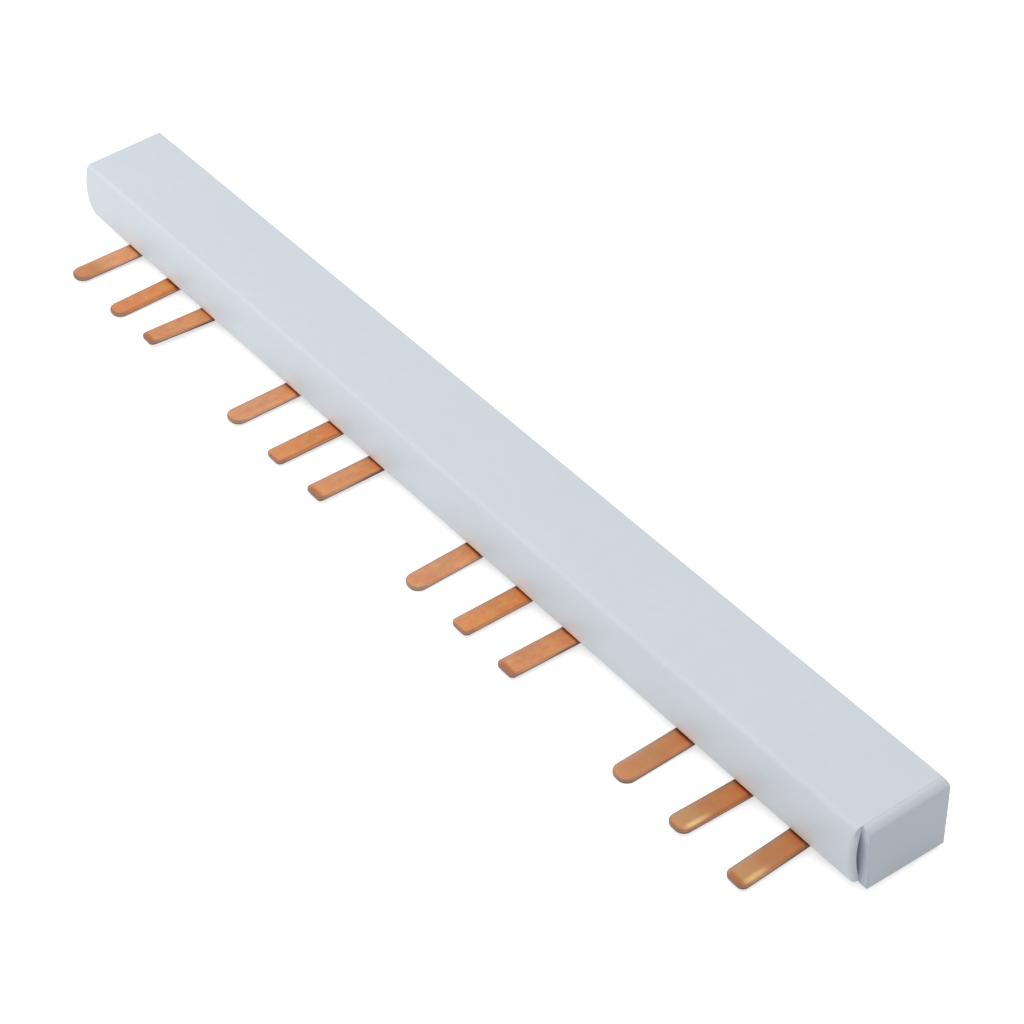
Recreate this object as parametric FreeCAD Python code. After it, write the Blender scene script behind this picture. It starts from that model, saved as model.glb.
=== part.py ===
"""Comb busbar for a row of three-pole breakers, four groups of three pins.

An extruded plastic housing carries three stamped copper combs, one above the other.
Each comb gives one pin to every group, and all twelve pins leave the housing in one plane.
A moulded cap closes the right end; the left end is as the saw left it.

X runs along the row, Y runs from the pins to the back, Z is up.
The origin is in the middle of the housing's length and depth, on the plane of its underside.
"""
import FreeCAD, Part
import math
import os
from FreeCAD import Vector

os.makedirs("parts", exist_ok=True)

# The row: pitch of one pole, poles from one group to the next, groups
MODULE = 17.8
GROUP_POLES = 4
GROUPS = 4

# Housing: what it has left of the first pole and right of the last, depth, section's walls
LEFT_OVER = 18.2
RIGHT_OVER = 14.4
BODY_W = 21.6
TOP_T = 1.4
BACK_T = 1.3
FLOOR_T = 1.2
FRONT_T = 1.3
RIB_T = 1.2
CHAMBER_H = 3.9
CHAMBERS = 3

# Housing: the bowed front wall, the slot under it and the rounded edges
BULGE = 1.35
PIN_UNDER = 0.1
SLOT_GAP = 0.4
TOP_FRONT_R = 1.2
BACK_R = 0.5
LIP_R = 0.4
INNER_R = 0.4

# The saw cut at the left end leans back by this angle in plan, in degrees
SAW_LEAN = 2.5

# Combs: sheet, strip, and the clearances to the chamber they lie in
SHEET_T = 1.2
STRIP_W = 13.0
STRIP_REST = 0.1
STRIP_SIDE = 0.2
RIB_LEAD = 0.6
STRIP_LEFT = 4.0
STRIP_RIGHT = 7.5

# Teeth: reach in front of the wall, bends, root, coined edges
REACH = 16.7
LEG_GAP = 1.7
JOG_GAP = 1.2
BEND_IN = 0.6
ROOT_R = 1.0
COIN = 0.3
COIN_START = 0.6

# One entry for each comb: chamber it lies in, tooth width, how far it sits along the row
COMB_CHAMBER = (2, 1, 0)
TOOTH_W = (5.5, 5.35, 5.5)
COMB_SHIFT = (0.0, 0.15, -1.4)

# One entry for each pin of the row, left to right
# tip radius as a share of the width, tip raised or lowered, tip swung along the row, tip narrower by
TIP_ROUND = (0.46, 0.44, 0.24, 0.42, 0.22, 0.16, 0.44, 0.20, 0.18, 0.42, 0.38, 0.26)
TIP_LIFT = (-0.1, -0.6, 0.9, -0.1, 0.0, 0.35, -0.6, 0.25, 0.3, -0.7, 0.1, 0.2)
TIP_SWING = (0.05, 0.1, 0.1, 0.0, 0.0, 0.2, 0.05, 0.1, -0.2, -0.15, -0.5, 0.9)
TIP_NARROW = (0.0, 0.0, 0.8, 0.0, 0.0, 0.0, 0.0, 0.0, 0.0, 0.0, 0.0, 0.0)

# End cap: plate, how far it stays inside the housing's outline (its flat front is measured from
# the bowed wall's foot), and the height of its lower edge
CAP_T = 2.25
CAP_SEAT = 0.05
CAP_IN_TOP = 0.1
CAP_IN_BACK = 0.15
CAP_IN_FRONT = 1.2
CAP_LOW_FRONT = 1.15
CAP_LOW_BACK = 0.45
CAP_LEAN = 0.45

# End cap: top that droops outwards, rounded edges, plugs
CAP_DROOP = 0.85
CAP_EDGE_R = 0.35
CAP_CORNER_R = 1.4
CAP_SMALL_R = 0.3
PLUG_L = 6.0
PLUG_GAP = 0.15
PLUG_WALL = 1.0
PLUG_LEAD = 0.5
PLUG_SHELF = 0.6

# Derived places across the section
FRONT = -BODY_W / 2
BACK = BODY_W / 2
BACK_IN = BACK - BACK_T
LIP_Z = PIN_UNDER + SHEET_T + SLOT_GAP
TOP_Z = FLOOR_T + CHAMBERS * CHAMBER_H + (CHAMBERS - 1) * RIB_T + TOP_T
TOP_IN = TOP_Z - TOP_T
STRIP_BACK = BACK_IN - STRIP_SIDE
STRIP_FRONT = STRIP_BACK - STRIP_W
RIB_FRONT = STRIP_FRONT - RIB_LEAD
LEG_R = BEND_IN + SHEET_T / 2
LEG_Y = RIB_FRONT - LEG_GAP - SHEET_T / 2
LEG_FRONT = LEG_Y - SHEET_T / 2
JOG_Y = RIB_FRONT - JOG_GAP
PIN_Z = PIN_UNDER + SHEET_T / 2
TIP_Y = FRONT - REACH

# Derived places along the row
PHASES = len(COMB_CHAMBER)
BODY_L = LEFT_OVER + ((GROUPS - 1) * GROUP_POLES + PHASES - 1) * MODULE + RIGHT_OVER
LEFT = -BODY_L / 2
RIGHT = BODY_L / 2


def chamber_floor(chamber):
    """Height of the surface that a chamber's strip lies on."""
    return FLOOR_T + chamber * (CHAMBER_H + RIB_T)


def bow(bottom, top, front, bulge):
    """Middle and radius of the arc from (front, bottom) to (front, top), bowed towards -Y."""
    half = (top - bottom) / 2
    radius = (half * half + bulge * bulge) / (2 * bulge)
    return front - bulge + radius, (top + bottom) / 2, radius


def on_bow(middle_y, middle_z, radius, z):
    """Point of the bowed arc at a height, on its -Y side."""
    return middle_y - math.sqrt(radius * radius - (z - middle_z) ** 2), z


def yz(point, x=0.0):
    return Vector(x, point[0], point[1])


def xy(point, z=0.0):
    return Vector(point[0], point[1], z)


def rounded(corners, place):
    """Closed wire through corners (a, b, radius), each corner with a tangent arc."""
    ends = []
    for i, (a, b, radius) in enumerate(corners):
        here = Vector(a, b, 0)
        before = Vector(corners[i - 1][0], corners[i - 1][1], 0)
        after = Vector(corners[(i + 1) % len(corners)][0], corners[(i + 1) % len(corners)][1], 0)
        to_before = (before - here).normalize()
        to_after = (after - here).normalize()
        angle = to_before.getAngle(to_after)
        if radius <= 0 or math.pi - angle < 1e-4:
            ends.append((here, here, here))
            continue
        back_off = radius / math.tan(angle / 2)
        start = here + to_before * back_off
        end = here + to_after * back_off
        middle = here + (to_before + to_after).normalize() * (radius / math.sin(angle / 2) - radius)
        ends.append((start, middle, end))
    edges = []
    for i, (start, middle, end) in enumerate(ends):
        if (end - start).Length > 1e-6:
            points = [place((p.x, p.y)) for p in (start, middle, end)]
            edges.append(Part.Arc(*points).toShape())
        following = ends[(i + 1) % len(ends)][0]
        if (following - end).Length > 1e-6:
            edges.append(Part.makeLine(place((end.x, end.y)), place((following.x, following.y))))
    return Part.Wire(edges)


def ribbon(path, radii, thickness):
    """Corners of a band of even thickness along a path, bent at its inner points."""
    half = thickness / 2
    sides = []
    for side in (1, -1):
        row = []
        for i, (y, z) in enumerate(path):
            here = Vector(y, z, 0)
            if i == 0 or i == len(path) - 1:
                other = path[1] if i == 0 else path[i - 1]
                along = (Vector(other[0], other[1], 0) - here) * (1 if i == 0 else -1)
                along.normalize()
                row.append((y - side * half * along.y, z + side * half * along.x, 0))
                continue
            into = (here - Vector(path[i - 1][0], path[i - 1][1], 0)).normalize()
            out = (Vector(path[i + 1][0], path[i + 1][1], 0) - here).normalize()
            normal_in = Vector(-into.y, into.x, 0)
            normal_out = Vector(-out.y, out.x, 0)
            middle = (normal_in + normal_out).normalize()
            reach = side * half / middle.dot(normal_in)
            turn = into.x * out.y - into.y * out.x
            radius = radii[i] - side * half if turn > 0 else radii[i] + side * half
            row.append((y + middle.x * reach, z + middle.y * reach, radius))
        sides.append(row)
    return sides[0] + sides[1][::-1]


def lengthwise(edge):
    """True for a straight edge that runs along the row."""
    first, last = edge.Vertexes[0].Point, edge.Vertexes[-1].Point
    return abs(first.y - last.y) < 1e-6 and abs(first.z - last.z) < 1e-6


def edges_at(solid, places):
    """Lengthwise edges that pass through the given (y, z) places."""
    found = []
    for edge in solid.Edges:
        point = edge.Vertexes[0].Point
        if lengthwise(edge) and any(math.hypot(point.y - y, point.z - z) < 1e-4 for y, z in places):
            found.append(edge)
    return found


def housing():
    """Extrusion: bowed front wall, flat top and back, floor and two ribs, open slot under the wall."""
    bow_y, bow_z, bow_r = bow(LIP_Z, TOP_Z, FRONT, BULGE)
    inner_r = bow_r - FRONT_T
    lip_in = on_bow(bow_y, bow_z, inner_r, LIP_Z)
    top_in = on_bow(bow_y, bow_z, inner_r, TOP_IN)
    outer_mid = (bow_y - bow_r, bow_z)
    inner_z = (LIP_Z + TOP_IN) / 2
    inner_mid = on_bow(bow_y, bow_z, inner_r, inner_z)

    chambers = [(BACK_IN, TOP_IN)]
    rib_tips = []
    for rib in range(CHAMBERS - 1, 0, -1):
        above = chamber_floor(rib)
        below = above - RIB_T
        rib_tips += [(RIB_FRONT, above), (RIB_FRONT, below)]
        chambers += [(BACK_IN, above), (RIB_FRONT, above), (RIB_FRONT, below), (BACK_IN, below)]
    chambers += [(BACK_IN, FLOOR_T), (RIB_FRONT, FLOOR_T), (RIB_FRONT, 0)]
    outside = [(BACK, 0), (BACK, TOP_Z), (FRONT, TOP_Z)]

    edges = []
    corners = chambers + outside
    for first, last in zip(corners[:-1], corners[1:]):
        edges.append(Part.makeLine(yz(first), yz(last)))
    edges.append(Part.Arc(yz((FRONT, TOP_Z)), yz(outer_mid), yz((FRONT, LIP_Z))).toShape())
    edges.append(Part.makeLine(yz((FRONT, LIP_Z)), yz(lip_in)))
    edges.append(Part.Arc(yz(lip_in), yz(inner_mid), yz(top_in)).toShape())
    edges.append(Part.makeLine(yz(top_in), yz((BACK_IN, TOP_IN))))

    spare = BODY_W * math.tan(math.radians(SAW_LEAN)) + 1
    section = Part.Face(Part.Wire(edges))
    section.translate(Vector(LEFT - spare, 0, 0))
    body = section.extrude(Vector(BODY_L + spare, 0, 0))

    body = body.makeFillet(TOP_FRONT_R, edges_at(body, [(FRONT, TOP_Z)]))
    body = body.makeFillet(BACK_R, edges_at(body, [(BACK, TOP_Z), (BACK, 0)]))
    lips = [(FRONT, LIP_Z), lip_in, (RIB_FRONT, 0), (RIB_FRONT, FLOOR_T)]
    body = body.makeFillet(LIP_R, edges_at(body, lips))
    body = body.makeFillet(INNER_R, edges_at(body, rib_tips))
    inner = [(BACK_IN, FLOOR_T), (BACK_IN, TOP_IN), top_in]
    for rib in range(1, CHAMBERS):
        inner += [(BACK_IN, chamber_floor(rib)), (BACK_IN, chamber_floor(rib) - RIB_T)]
    body = body.makeFillet(INNER_R, edges_at(body, inner))

    waste = Part.makeBox(4 * spare, 4 * BODY_W, 4 * TOP_Z, Vector(-4 * spare, -BODY_W, -TOP_Z))
    waste.rotate(Vector(0, 0, 0), Vector(0, 0, 1), SAW_LEAN)
    waste.translate(Vector(LEFT, FRONT, 0))
    return body.cut(waste)


def tooth(x, width, strip_z, number):
    """One tooth: bent band seen from the side, cut to the outline seen from above."""
    lift = TIP_LIFT[number]
    swing = TIP_SWING[number]
    inside = STRIP_FRONT + ROOT_R
    if strip_z - PIN_Z > 2 * LEG_R:
        top_y = foot_y = LEG_Y
    else:
        top_y = JOG_Y
        foot_y = JOG_Y - (strip_z - PIN_Z)
    run = foot_y - TIP_Y
    beyond = (TIP_Y - run / 2, PIN_Z + 1.5 * lift)
    path = [(inside, strip_z), (top_y, strip_z), (foot_y, PIN_Z), beyond]
    side = Part.Face(rounded(ribbon(path, (0, LEG_R, LEG_R, 0), SHEET_T), yz))
    side.translate(Vector(x - 2 * width, 0, 0))
    band = side.extrude(Vector(4 * width, 0, 0))

    half = width / 2
    tip_half = half - TIP_NARROW[number] / 2
    tip_r = TIP_ROUND[number] * width
    outline = [
        (x - half, inside, 0), (x - half, LEG_FRONT, 0), (x - tip_half + swing, TIP_Y, tip_r),
        (x + tip_half + swing, TIP_Y, tip_r), (x + half, LEG_FRONT, 0), (x + half, inside, 0),
    ]
    plan = Part.Face(rounded(outline, xy))
    plan.translate(Vector(0, 0, -TOP_Z))
    prism = plan.extrude(Vector(0, 0, 3 * TOP_Z))
    prism.rotate(Vector(0, foot_y, PIN_Z), Vector(1, 0, 0), -math.degrees(math.atan2(lift, run)))
    whole = band.common(prism)

    # Only the blade in front of the lip is coined; the rest keeps its stamped edges
    start = FRONT + COIN_START
    cutter = Part.makeBox(8 * width, REACH + BODY_W, 4 * TOP_Z, Vector(x - 4 * width, start, -TOP_Z))
    blade = whole.cut(cutter)
    rims = []
    for edge in blade.Edges:
        ends = [v.Point for v in edge.Vertexes]
        rise = abs(ends[0].z - ends[-1].z)
        on_cut = all(abs(p.y - start) < 1e-5 for p in ends)
        if not on_cut and rise < edge.Length / 2:
            rims.append(edge)
    blade = blade.makeChamfer(COIN, rims)
    return whole.common(cutter).fuse(blade)


def comb(phase):
    """One stamping: the strip that lies in its chamber and its four teeth."""
    floor = chamber_floor(COMB_CHAMBER[phase]) + STRIP_REST
    width = TOOTH_W[phase]
    length = BODY_L - STRIP_LEFT - STRIP_RIGHT
    strip = Part.makeBox(length, STRIP_W, SHEET_T, Vector(LEFT + STRIP_LEFT, STRIP_FRONT, floor))
    teeth = []
    roots = []
    for group in range(GROUPS):
        x = LEFT + LEFT_OVER + (group * GROUP_POLES + phase) * MODULE + COMB_SHIFT[phase]
        teeth.append(tooth(x, width, floor + SHEET_T / 2, group * PHASES + phase))
        roots += [x - width / 2, x + width / 2]
    piece = strip.fuse(teeth).removeSplitter()
    fillets = []
    for edge in piece.Edges:
        ends = [v.Point for v in edge.Vertexes]
        upright = abs(abs(ends[0].z - ends[-1].z) - SHEET_T) < 1e-4
        at_front = all(abs(p.y - STRIP_FRONT) < 1e-4 for p in ends)
        if upright and at_front and any(abs(ends[0].x - x) < 1e-4 for x in roots):
            fillets.append(edge)
    return piece.makeFillet(ROOT_R, fillets)


def front_channel(inset, x):
    """Section of the space between the bowed wall and the ribs, from the lip up, less an even inset."""
    bow_y, bow_z, bow_r = bow(LIP_Z, TOP_Z, FRONT, BULGE)
    radius = bow_r - FRONT_T - inset
    low = LIP_Z + inset - PLUG_GAP
    high = TOP_IN - INNER_R - inset
    back = RIB_FRONT - inset
    low_front = on_bow(bow_y, bow_z, radius, low)
    high_front = on_bow(bow_y, bow_z, radius, high)
    corners = [high_front, (back, high), (back, low), low_front]
    edges = [Part.makeLine(yz(first, x), yz(last, x)) for first, last in zip(corners[:-1], corners[1:])]
    edges.append(Part.Arc(yz(low_front, x), yz((bow_y - radius, bow_z), x), yz(high_front, x)).toShape())
    return Part.Face(Part.Wire(edges))


def end_cap():
    """Moulded plate with a flat front and a drooping top, and hollow plugs for the chambers and the front."""
    seat = RIGHT + CAP_SEAT
    outside = seat + CAP_T
    top = TOP_Z - CAP_IN_TOP
    bow_y, bow_z, bow_r = bow(LIP_Z, TOP_Z, FRONT, BULGE)
    front = on_bow(bow_y, bow_z, bow_r - CAP_IN_FRONT, LIP_Z)[0]
    top_front = (front, top)
    low_front = (front, CAP_LOW_FRONT)
    low_back = (BACK - CAP_IN_BACK - CAP_LEAN, CAP_LOW_BACK)
    top_back = (BACK - CAP_IN_BACK, top)
    corners = [low_front, low_back, top_back, top_front, low_front]
    edges = [Part.makeLine(yz(first), yz(last)) for first, last in zip(corners[:-1], corners[1:])]
    face = Part.Face(Part.Wire(edges))
    face.translate(Vector(seat, 0, 0))
    plate = face.extrude(Vector(CAP_T, 0, 0))
    plate = plate.makeFillet(CAP_CORNER_R, edges_at(plate, [top_front]))
    plate = plate.makeFillet(CAP_SMALL_R, edges_at(plate, [top_back, low_back, low_front]))

    # The top starts level at the seat and follows an arc down to the outer face
    roof_r = (CAP_T * CAP_T + CAP_DROOP * CAP_DROOP) / (2 * CAP_DROOP)
    turn = math.asin(CAP_T / roof_r)
    roof = [
        Vector(seat + roof_r * math.sin(angle), -BODY_W, top - roof_r * (1 - math.cos(angle)))
        for angle in (0, turn / 2, turn)
    ]
    over = [roof[2], Vector(outside, -BODY_W, TOP_Z + 1), Vector(seat, -BODY_W, TOP_Z + 1), roof[0]]
    edges = [Part.makeLine(first, last) for first, last in zip(over[:-1], over[1:])]
    edges.append(Part.Arc(*roof).toShape())
    plate = plate.cut(Part.Face(Part.Wire(edges)).extrude(Vector(0, 2 * BODY_W, 0)))

    rim = [edge for edge in plate.Edges if all(abs(v.Point.x - outside) < 1e-5 for v in edge.Vertexes)]
    plate = plate.makeFillet(CAP_EDGE_R, rim)

    plugs = []
    for chamber in range(CHAMBERS):
        low = chamber_floor(chamber) + PLUG_GAP
        high = chamber_floor(chamber) + CHAMBER_H - PLUG_GAP
        near = RIB_FRONT + PLUG_GAP
        far = BACK_IN - INNER_R - PLUG_GAP
        start = RIGHT - PLUG_L
        length = seat + CAP_T / 2 - start
        block = Part.makeBox(length, far - near, high - low, Vector(start, near, low))
        lead = []
        for edge in block.Edges:
            if all(abs(v.Point.x - start) < 1e-6 for v in edge.Vertexes):
                lead.append(edge)
        block = block.makeChamfer(PLUG_LEAD, lead)
        hollow = Part.makeBox(
            RIGHT - start + PLUG_WALL, far - near - 2 * PLUG_WALL, high - low - 2 * PLUG_WALL,
            Vector(start - PLUG_WALL, near + PLUG_WALL, low + PLUG_WALL))
        plugs.append(block.cut(hollow))

    # The front plug follows the bowed wall. Ahead of the plate it ends in a shelf behind the housing's end
    start = RIGHT - PLUG_L
    shelf = RIGHT - PLUG_SHELF
    block = front_channel(PLUG_GAP, start).extrude(Vector(seat + CAP_T / 2 - start, 0, 0))
    lead = [edge for edge in block.Edges if all(abs(v.Point.x - start) < 1e-6 for v in edge.Vertexes)]
    block = block.makeChamfer(PLUG_LEAD, lead)
    ahead = Part.makeBox(PLUG_L, BODY_W, 2 * TOP_Z, Vector(shelf, front - BODY_W, 0))
    hollow = front_channel(PLUG_GAP + PLUG_WALL, start - PLUG_WALL).extrude(Vector(shelf - start, 0, 0))
    plugs.append(block.cut(ahead).cut(hollow))
    return plate.fuse(plugs).removeSplitter()


pieces = {"housing": housing(), "end_cap": end_cap()}
for phase in range(PHASES):
    pieces["comb_l%d" % (phase + 1)] = comb(phase)

for name, shape in pieces.items():
    shape.exportStep("parts/" + name + ".step")
    box = shape.BoundBox
    print("%-9s valid %s, solids %d, volume %.0f, x %.2f %.2f, y %.2f %.2f, z %.2f %.2f" % (
        name, shape.isValid(), len(shape.Solids), shape.Volume,
        box.XMin, box.XMax, box.YMin, box.YMax, box.ZMin, box.ZMax))
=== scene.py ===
"""Comb busbar: plastic housing, three copper combs and an end cap, on a plain pale floor.

Every length is in metres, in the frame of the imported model: X along the row, Y to the back, Z up.
"""
import math
from collections import namedtuple

import bpy
import numpy as np
from bpy.props import FloatProperty, FloatVectorProperty, PointerProperty
from mathutils import Euler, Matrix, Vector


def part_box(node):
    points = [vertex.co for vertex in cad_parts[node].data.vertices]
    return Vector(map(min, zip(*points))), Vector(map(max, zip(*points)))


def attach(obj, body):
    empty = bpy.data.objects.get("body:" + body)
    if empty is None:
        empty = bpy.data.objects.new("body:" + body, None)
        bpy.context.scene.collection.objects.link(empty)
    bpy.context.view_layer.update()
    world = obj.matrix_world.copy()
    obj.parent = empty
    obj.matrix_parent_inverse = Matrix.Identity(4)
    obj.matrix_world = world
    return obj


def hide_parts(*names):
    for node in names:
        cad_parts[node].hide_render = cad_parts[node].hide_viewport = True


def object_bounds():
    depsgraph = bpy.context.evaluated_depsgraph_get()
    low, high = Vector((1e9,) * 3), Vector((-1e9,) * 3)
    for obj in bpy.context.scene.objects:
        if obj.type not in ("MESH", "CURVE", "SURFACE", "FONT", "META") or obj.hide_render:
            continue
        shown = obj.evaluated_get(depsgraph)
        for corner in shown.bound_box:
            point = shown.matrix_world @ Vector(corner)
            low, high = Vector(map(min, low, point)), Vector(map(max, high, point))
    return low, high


bl_info = {
    "name": "Comb Busbar",
    "version": (1, 0, 0),
    "blender": (4, 5, 0),
    "location": "View3D > Sidebar > Busbar",
    "description": "Builds the housing, combs and end cap of a comb busbar around its packed frame",
    "category": "Object",
}

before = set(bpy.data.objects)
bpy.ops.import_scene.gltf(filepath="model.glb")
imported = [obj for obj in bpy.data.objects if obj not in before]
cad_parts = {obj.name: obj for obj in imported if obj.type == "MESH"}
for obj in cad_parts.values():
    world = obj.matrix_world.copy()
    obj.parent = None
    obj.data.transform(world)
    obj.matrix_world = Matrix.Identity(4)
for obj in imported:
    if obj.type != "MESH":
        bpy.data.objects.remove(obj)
cad_low, cad_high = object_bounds()
_, cap_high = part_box("end_cap")

# Groups of pins, poles from one group to the next, and chambers one over another
GROUPS = 4
GROUP_POLES = 4
CHAMBERS = 3

# One entry for each comb: CAD node, chamber from below, tooth width, shift along the row, and tint
# of its copper, from 0 for pink to 1 for orange
Comb = namedtuple("Comb", "node chamber width shift tint")
COMBS = (
    Comb("comb_l1", 2, 0.0055, 0.0, 0.0),
    Comb("comb_l2", 1, 0.00535, 0.00015, 1.0),
    Comb("comb_l3", 0, 0.0055, -0.0014, 0.5),
)

# One entry for each pin, left to right: tip radius as a share of the width, tip raised, tip swung
# along the row, tip narrower by, and how far the rolled edge reaches over the face
Pin = namedtuple("Pin", "tip lift swing narrower roll")
PINS = (
    Pin(0.46, -0.0001, 0.00005, 0, 0.0013),
    Pin(0.44, -0.0006, 0.0001, 0, 0.0011),
    Pin(0.24, 0.0009, 0.0001, 0.0008, 0.0006),
    Pin(0.42, -0.0001, 0.0, 0, 0.0010),
    Pin(0.24, 0.0, 0.0, 0, 0.0006),
    Pin(0.18, 0.00035, 0.0002, 0, 0.0005),
    Pin(0.44, -0.0006, 0.00005, 0, 0.0008),
    Pin(0.22, 0.00025, 0.0001, 0, 0.0005),
    Pin(0.20, 0.0003, -0.0002, 0, 0.0005),
    Pin(0.42, -0.0007, -0.00015, 0, 0.0007),
    Pin(0.38, 0.0001, -0.0005, 0, 0.0009),
    Pin(0.28, 0.0002, 0.0009, 0, 0.0008),
)

# Small lengths: radius of the strips' edges, start of a tooth along its middle line, height over
# which the bowed wall's end edge fades out, the cap's plate in from the housing's back, least radii
# of the plate's corner and edge, how far the cap's shells run into each other, chamfer, wall and
# floor of the plugs, floor of the front plug, its block in from the plate's front, opening between
# the ends of an outline, and a length that counts as none
STRIP_EDGE = 0.00012
TOOTH_START = 0.0005
END_FADE = 0.0015
CAP_BACK = 0.00015
CAP_CORNER_LEAST = 0.0002
CAP_EDGE_LEAST = 0.00004
OVERLAP = 0.0005
PLUG_CHAMFER = 0.0005
PLUG_WALL = 0.001
PLUG_FLOOR = 0.0012
SHELF = 0.001
SHELF_SET_IN = 0.00003
OPENING = 0.0001
TINY = 1e-9

# Shares: drop of a tooth's rolled edge by its reach and by the sheet, height of the lower edge by
# its reach, where a pin's swing stops, and the cap's corner at its seat
ROLL_DROP = 0.6
ROLL_DROP_MOST = 0.42
BURR_HEIGHT = 0.8
SWING_MOST = 1.02
CORNER_AT_SEAT = 0.4

# Edges between faces that meet at more than this are sharp
SHARP_ANGLE = math.radians(32)

# Floor's half width and its place under the part; camera fitted to the photograph, turned in degrees
FLOOR_HALF = 4.0
FLOOR_DROP = 0.0001
CAMERA_PLACE = (0.382174, -0.249619, 0.389493)
CAMERA_TURN = (48.8641, 2.3091, 53.4198)
CAMERA_LENS = 95.628
CAMERA_SENSOR = 36

# One entry for each lamp: name, place, target and size
LAMPS = (
    ("front_lamp", (-0.30, -0.80, 0.16), (-0.05, 0, 0), 0.3),
    ("left_lamp", (-0.85, -0.30, 0.25), (-0.05, 0, 0), 0.4),
    ("top_lamp", (0.0, 0.05, 1.0), (0, 0, 0), 1.4),
)


def length(name, default, description):
    return FloatProperty(name=name, description=description, default=default, min=0, unit="LENGTH")


def power(name, default, description):
    return FloatProperty(name=name, description=description, default=default, min=0, unit="POWER")


def colour(name, default, description):
    return FloatVectorProperty(
        name=name, description=description, default=default, subtype="COLOR", min=0, max=1)


class BusbarSizes(bpy.types.PropertyGroup):
    """Sizes of the row, the housing's section, the sheet and the cap."""

    pole: length("Pole pitch", 0.0178, "From one breaker pole to the next")
    left_over: length("Left of first pole", 0.0182, "Housing left of the middle of the first pole")
    right_over: length("Right of last pole", 0.0144, "Housing right of the middle of the last pole")
    depth: length("Depth", 0.0216, "Housing from the top of its front wall to its back")
    top_wall: length("Top wall", 0.0014, "Thickness of the top")
    back_wall: length("Back wall", 0.0013, "Thickness of the back")
    floor_wall: length("Floor", 0.0012, "Thickness of the floor")
    front_wall: length("Front wall", 0.0017, "Thickness of the bowed front wall")
    rib: length("Rib", 0.0012, "Thickness of the ribs between the chambers")
    chamber: length("Chamber", 0.0039, "Clear height of a chamber")
    bulge: length("Bow", 0.00135, "How far the front wall bows out")
    lip: length("Lip height", 0.0017, "Front wall's lower edge above the underside")
    slot_gap: length("Slot gap", 0.0004, "From the pins' upper side to the lip")
    burr: length("Lower edge", 0.00025, "How far the teeth's lower edge is rounded")
    edge: length("Top front edge", 0.0012, "Radius of the top front edge")
    back_edge: length("Back edges", 0.0005, "Radius of the back edges")
    small_edge: length("Small edges", 0.0004, "Radius of the lip, the ribs and the chambers")
    end_edge: length("End edge", 0.0007, "Radius of the bowed wall's edge at the right end")
    sheet: length("Sheet", 0.0012, "Thickness of the copper")
    strip: length("Strip", 0.013, "Width of a comb's strip")
    strip_side: length("Strip clearance", 0.0002, "From the strip to the back wall")
    strip_rest: length("Strip rest", 0.0001, "From the strip to the surface under it")
    strip_left: length("Strip set-back left", 0.004, "From the sawn end to the strips")
    strip_right: length("Strip set-back right", 0.0075, "From the capped end to the strips")
    rib_lead: length("Rib lead", 0.0006, "How far the ribs stand in front of the strips")
    leg_gap: length("Leg gap", 0.0017, "From the ribs to the teeth's upright legs")
    joggle_gap: length("Joggle gap", 0.0012, "From the ribs to the bottom comb's joggle")
    bend: length("Bend", 0.0006, "Inner radius of the bends")
    root: length("Root", 0.001, "Radius where a tooth leaves its strip")
    reach: length("Reach", 0.0167, "Pins in front of the wall")
    cap_seat: length("Cap seat", 0.00001, "From the housing's end to the cap's plate")
    cap_front: length("Cap set-in", 0.0012, "From the bowed wall's foot in to the cap's flat front")
    cap_in: length("Cap top", 0.00002, "From the housing's top down to the cap's")
    cap_low_front: length("Cap's low front", 0.00115, "Height of the cap's lower edge at the front")
    cap_low_back: length("Cap's low back", 0.00045, "Height of the cap's lower edge at the back")
    cap_lean: length("Cap lean", 0.00045, "How far the cap's back edge runs in towards its foot")
    cap_level: length("Cap level", 0.0006, "Part of the cap's top next to the housing that is level")
    cap_droop: length("Cap droop", 0.00085, "Fall of the cap's top towards its outer face")
    cap_edge: length("Cap edge", 0.00028, "Radius of the cap's outer edge")
    cap_corner: length("Cap corner", 0.0014, "Radius of the cap's top front corner")
    plug: length("Plug", 0.006, "Length of the cap's plugs")
    plug_gap: length("Plug clearance", 0.00015, "From the plugs to the walls round them")
    plug_shelf: length("Plug shelf", 0.0013, "How far the front plug ends behind the housing's end")
    saw_lean: FloatProperty(
        name="Saw lean", description="Lean of the sawn end in plan",
        default=math.radians(2.5), subtype="ANGLE")


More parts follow.
